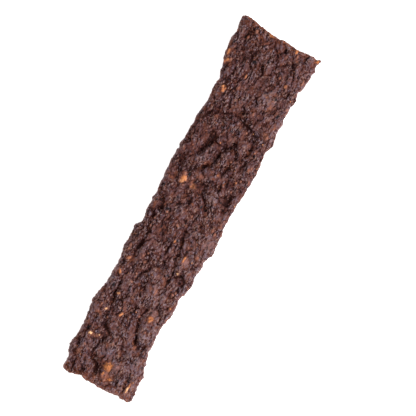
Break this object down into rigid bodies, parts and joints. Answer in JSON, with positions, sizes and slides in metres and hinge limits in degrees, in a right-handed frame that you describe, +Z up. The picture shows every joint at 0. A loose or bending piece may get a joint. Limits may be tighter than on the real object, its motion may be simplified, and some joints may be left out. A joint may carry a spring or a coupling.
{
  "type": "beef lung jerky",
  "caption": "Flat strip of pressed and dried minced beef lung with a lumpy, folded skin, pale gristle flecks and two cut ends.",
  "frame": {"origin": "middle of the bottom of the strip's bounding box, on the surface it lies on", "axes": "+X along the strip, +Y across it, +Z up through the shown face"},
  "size_m": [0.154, 0.0352, 0.0067],
  "materials": {
    "dried_meat": "dried meat: dark red-brown, dull and wrinkled, with a faint satin shine on the high spots",
    "gristle": "small chips of dried fat and gristle, pale orange to cream, satin"
  },
  "bodies": {
    "root": {"jerky_strip": "dried_meat"}
  },
  "joints": []
}
